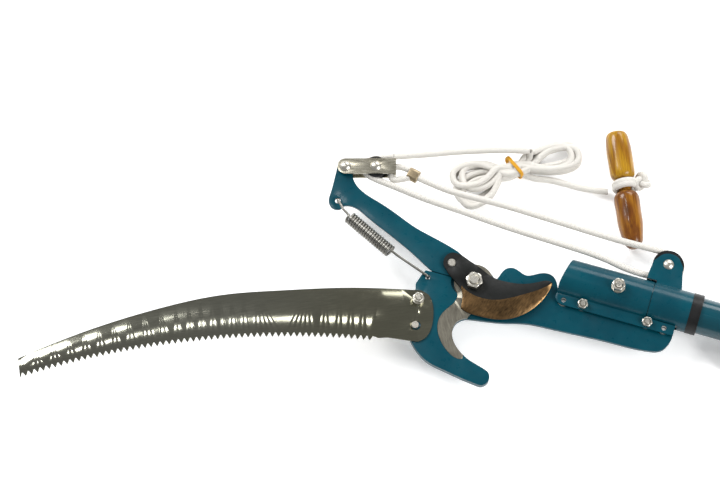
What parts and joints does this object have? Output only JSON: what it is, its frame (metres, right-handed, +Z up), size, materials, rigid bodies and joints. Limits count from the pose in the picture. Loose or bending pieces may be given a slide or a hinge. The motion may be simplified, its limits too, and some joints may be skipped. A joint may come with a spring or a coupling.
{
  "type": "telescopic pole pruner with saw",
  "caption": "Telescoping pole pruner: rope-pulled bypass blade over a hook, pulley tackle, return spring, curved pruning saw and a locking two-section pole.",
  "frame": {"origin": "middle of the footprint of the tool without its free rope, on the surface it lies on", "axes": "+X along the pole towards the butt, +Z up out of the flat head, +Y on the side of the rope tackle"},
  "size_m": [1.5134, 0.3663, 0.0489],
  "materials": {
    "band": "amber rubber band",
    "black_plastic": "moulded satin black",
    "bronze": "crimped bronze sleeve",
    "coated_blade": "black coated steel with a ground bronze bevel",
    "ground_steel": "ground steel",
    "lower_tube": "glossy teal enamel on drawn tube",
    "red_plastic": "moulded satin black",
    "rope": "white braided cord",
    "rubber": "moulded ribbed rubber",
    "saw_steel": "polished hard-chromed steel",
    "spring_steel": "drawn spring wire",
    "stainless": "polished stainless strap",
    "teal_paint": "glossy teal enamel",
    "teal_tube": "glossy teal enamel on drawn tube",
    "wood": "varnished turned wood",
    "zinc_steel": "zinc plated"
  },
  "bodies": {
    "head": {"body_plate": "teal_paint", "clamp_front": "teal_paint", "clamp_rear": "teal_paint", "counter_blade": "ground_steel", "flange_bolts": "zinc_steel", "flange_nuts": "zinc_steel", "flange_spacers": "zinc_steel", "hank_band": "band", "hook_face": "teal_paint", "neck_turns": "rope", "pivot_bolt": "zinc_steel", "pivot_nut": "zinc_steel", "pole_bush": "black_plastic", "pole_plug": "black_plastic", "pole_top": "teal_tube", "pull_handle": "wood", "pulley_bracket": "teal_paint", "return_spring": "spring_steel", "rope_becket": "rope", "rope_ferrule": "bronze", "rope_hank": "rope", "rope_knot": "rope", "rope_lead": "rope", "rope_tackle": "rope", "rope_tail": "rope", "saw_blade": "saw_steel", "saw_nut": "zinc_steel", "saw_screw": "zinc_steel", "saw_stud": "zinc_steel", "sleeve_bolt": "zinc_steel", "sleeve_nut": "zinc_steel", "sleeve_washers": "zinc_steel", "top_pulley_pin": "zinc_steel"},
    "lever": {"lever_arm": "teal_paint", "cutting_blade": "coated_blade", "blade_rivet": "zinc_steel", "arm_rivet": "zinc_steel"},
    "link": {"link_strap": "stainless", "link_rivet": "zinc_steel"},
    "moving_sheave": {"link_pulley": "black_plastic"},
    "fixed_sheave": {"top_pulley": "black_plastic"},
    "lower_pole": {"pole_lower": "lower_tube", "lock_collar": "black_plastic", "collar_lip": "black_plastic", "lock_screw": "zinc_steel", "grip": "rubber", "end_cap": "rubber"},
    "lock": {"lock_lever": "red_plastic"}
  },
  "joints": [
    {"name": "lever_swing", "type": "hinge", "parent": "head", "child": "lever", "pos_m": [-0.4053, 0.05058, 0.0227], "axis": [0, 0, -1], "range_deg": [0, 78], "stiffness_Nm_per_rad": 0.35, "springref_deg": -22.92, "deforming": ["return_spring", "rope_tackle", "rope_becket", "rope_ferrule", "rope_lead"]},
    {"name": "link_turn", "type": "hinge", "parent": "lever", "child": "link", "pos_m": [-0.5404, 0.12008, 0.0227], "axis": [0, 0, 1], "range_deg": [0, 26]},
    {"name": "moving_sheave_spin", "type": "hinge", "parent": "link", "child": "moving_sheave", "pos_m": [-0.51532, 0.12766, 0.0227], "axis": [0, 0, 1], "continuous": true},
    {"name": "fixed_sheave_spin", "type": "hinge", "parent": "head", "child": "fixed_sheave", "pos_m": [-0.2501, 0.11358, 0.0227], "axis": [0, 0, 1], "continuous": true},
    {"name": "pole_slide", "type": "slide", "parent": "head", "child": "lower_pole", "axis": [1, 0, 0], "range_m": [0, 0.6]},
    {"name": "lock_turn", "type": "hinge", "parent": "lower_pole", "child": "lock", "pos_m": [-0.1593, 0.05058, 0.0227], "axis": [0, 0, -1], "range_deg": [0, 110]}
  ],
  "couplings": [
    {"joint": "link_turn", "follows": "lever_swing", "ratio": 0.3}
  ]
}
